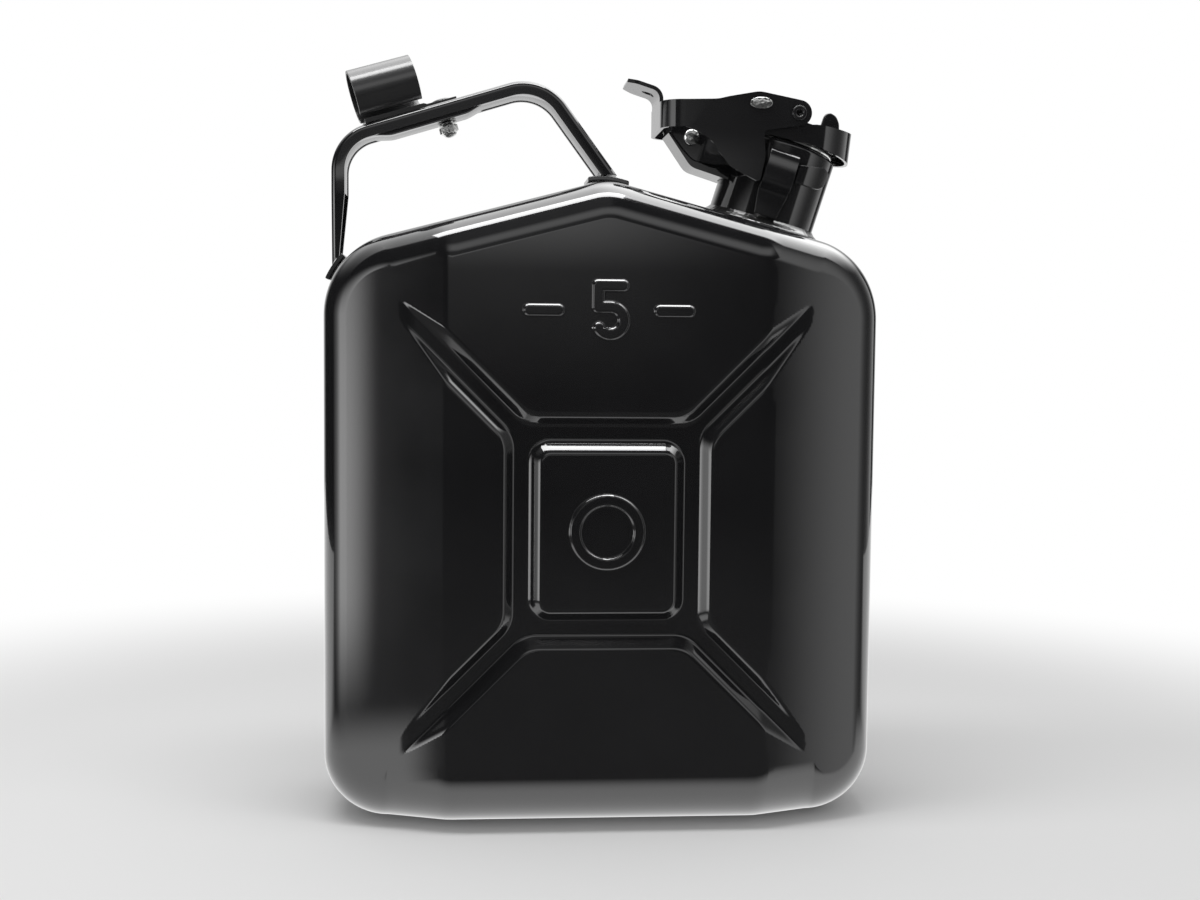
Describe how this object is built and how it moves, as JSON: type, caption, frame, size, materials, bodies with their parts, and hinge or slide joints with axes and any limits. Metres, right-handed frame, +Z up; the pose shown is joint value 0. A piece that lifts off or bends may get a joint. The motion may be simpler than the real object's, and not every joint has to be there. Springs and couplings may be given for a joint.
{
  "type": "jerry can",
  "caption": "Black steel fuel can of two pressed halves with an X-pressed face, a leaning neck, a hinged cam-lever cap, an arched channel handle and a spout clip.",
  "frame": {"origin": "on the floor, under the middle of the tank, in the plane of its seam", "axes": "+X towards the filler neck, -Y out of the marked front face, +Z up"},
  "size_m": [0.2342, 0.11, 0.3212],
  "materials": {
    "black_paint": "high gloss black enamel",
    "weld": "painted weld bead",
    "zinc": "bright zinc plate",
    "rubber": "matte black"
  },
  "bodies": {
    "can": {"shell_front": "black_paint", "shell_rear": "black_paint", "seam_weld": "weld", "neck_tube": "black_paint", "neck_weld": "weld", "mouth_ring": "black_paint", "vent_tube": "black_paint", "hook_strap_front": "black_paint", "hook_strap_rear": "black_paint", "hook_wing_front": "black_paint", "hook_wing_rear": "black_paint", "hinge_bracket": "black_paint", "hinge_pin": "zinc", "handle": "black_paint", "handle_foot_left": "black_paint", "handle_foot_right": "black_paint", "grip_insert": "black_paint", "spout_clip": "black_paint", "clip_bolt": "black_paint", "clip_washer": "zinc", "clip_nut": "zinc"},
    "lid": {"lid_bridge": "black_paint", "lid_disc": "zinc", "lid_gasket": "rubber", "lid_rivet": "zinc", "lid_lug": "black_paint"},
    "lever": {"lever": "black_paint", "lever_pivot_rivet_front": "black_paint", "lever_pivot_rivet_rear": "black_paint", "lever_stud_front": "zinc", "lever_stud_rear": "zinc"}
  },
  "joints": [
    {"name": "lid_hinge", "type": "hinge", "parent": "can", "child": "lid", "pos_m": [0.03778, 0, 0.28772], "axis": [0, -1, 0], "range_deg": [0, 105]},
    {"name": "lever_pivot", "type": "hinge", "parent": "lid", "child": "lever", "pos_m": [0.08128, 0, 0.29721], "axis": [0, 1, 0], "range_deg": [0, 100]}
  ],
  "couplings": [
    {"joint": "lever_pivot", "follows": "lid_hinge", "ratio": 0.95}
  ]
}
